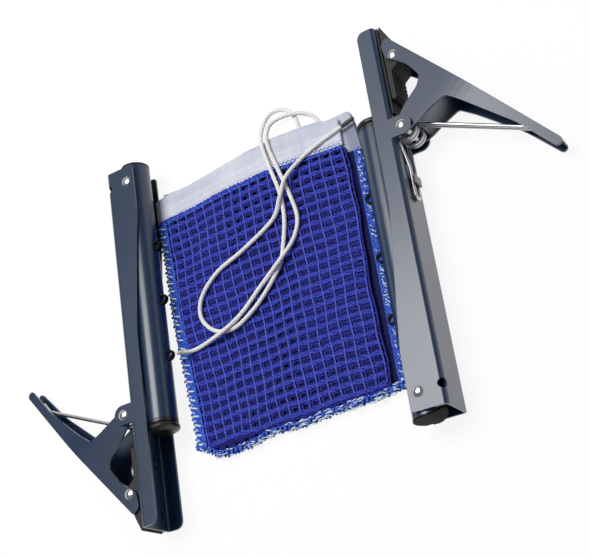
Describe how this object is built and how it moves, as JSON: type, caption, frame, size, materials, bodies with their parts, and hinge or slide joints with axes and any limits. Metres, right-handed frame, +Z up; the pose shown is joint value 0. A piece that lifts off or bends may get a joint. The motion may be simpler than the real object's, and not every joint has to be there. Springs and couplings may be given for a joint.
{
  "type": "table tennis net set",
  "caption": "Folded table tennis net with tape and cord, lying between matching spring clamps whose posts fold out of channel arms.",
  "frame": {"origin": "middle of the set's footprint, on the surface that it lies on", "axes": "+Z up; the arms run along Y and the left-hand unit is at -X; +Y is the top of the picture, where the net's tape lies"},
  "size_m": [0.31, 0.2072, 0.024],
  "materials": {
    "paint": "gloss",
    "black_plastic": "satin",
    "rivet": "polished",
    "spring_wire": "satin",
    "rubber": "matte",
    "net": "knotted mesh",
    "tape": "woven",
    "cord": "braided",
    "cord_end": "matte"
  },
  "bodies": {
    "set": {"left_arm": "paint", "left_post_pin": "rivet", "left_post_spacer": "black_plastic", "left_lever_pin": "rivet", "left_spring": "spring_wire", "left_grip_strip": "rubber", "right_arm": "paint", "right_post_pin": "rivet", "right_post_spacer": "black_plastic", "right_lever_pin": "rivet", "right_spring": "spring_wire", "right_grip_strip": "rubber", "net_lower": "net", "net_upper": "net", "net_mesh": "net", "tape_back": "tape", "tape_left": "tape", "tape_right": "tape", "cord_long": "cord", "cord_short": "cord", "cord_tip": "cord_end"},
    "left_post": {"left_post_tube": "paint", "left_post_cap": "black_plastic", "left_post_plug": "black_plastic", "left_post_hooks": "black_plastic"},
    "left_lever": {"left_lever": "paint", "left_jaw_pin": "rivet"},
    "left_jaw": {"left_jaw_pad": "rubber"},
    "right_post": {"right_post_tube": "paint", "right_post_cap": "black_plastic", "right_post_plug": "black_plastic", "right_post_hooks": "black_plastic"},
    "right_lever": {"right_lever": "paint", "right_jaw_pin": "rivet"},
    "right_jaw": {"right_jaw_pad": "rubber"}
  },
  "joints": [
    {"name": "left_post_fold", "type": "hinge", "parent": "set", "child": "left_post", "pos_m": [-0.07022, 0.08143, 0.012], "axis": [0, 0, 1], "range_deg": [0, 60], "deforming": ["cord_long", "cord_short"]},
    {"name": "left_lever_squeeze", "type": "hinge", "parent": "set", "child": "left_lever", "pos_m": [-0.08702, -0.04557, 0.012], "axis": [0, 0, -1], "range_deg": [0, 45], "stiffness_Nm_per_rad": 0.8, "springref_deg": -51.57, "deforming": ["left_spring"]},
    {"name": "left_jaw_swivel", "type": "hinge", "parent": "left_lever", "child": "left_jaw", "pos_m": [-0.08917, -0.08493, 0.012], "axis": [0, 0, 1], "range_deg": [0, 45]},
    {"name": "right_post_fold", "type": "hinge", "parent": "set", "child": "right_post", "pos_m": [0.06858, -0.08115, 0.012], "axis": [0, 0, 1], "range_deg": [0, 60]},
    {"name": "right_lever_squeeze", "type": "hinge", "parent": "set", "child": "right_lever", "pos_m": [0.0876, 0.04553, 0.012], "axis": [0, 0, -1], "range_deg": [0, 45], "stiffness_Nm_per_rad": 0.8, "springref_deg": -51.57, "deforming": ["right_spring"]},
    {"name": "right_jaw_swivel", "type": "hinge", "parent": "right_lever", "child": "right_jaw", "pos_m": [0.09044, 0.08485, 0.012], "axis": [0, 0, 1], "range_deg": [0, 45]}
  ],
  "couplings": [
    {"joint": "left_jaw_swivel", "follows": "left_lever_squeeze", "ratio": 1},
    {"joint": "right_jaw_swivel", "follows": "right_lever_squeeze", "ratio": 1}
  ]
}
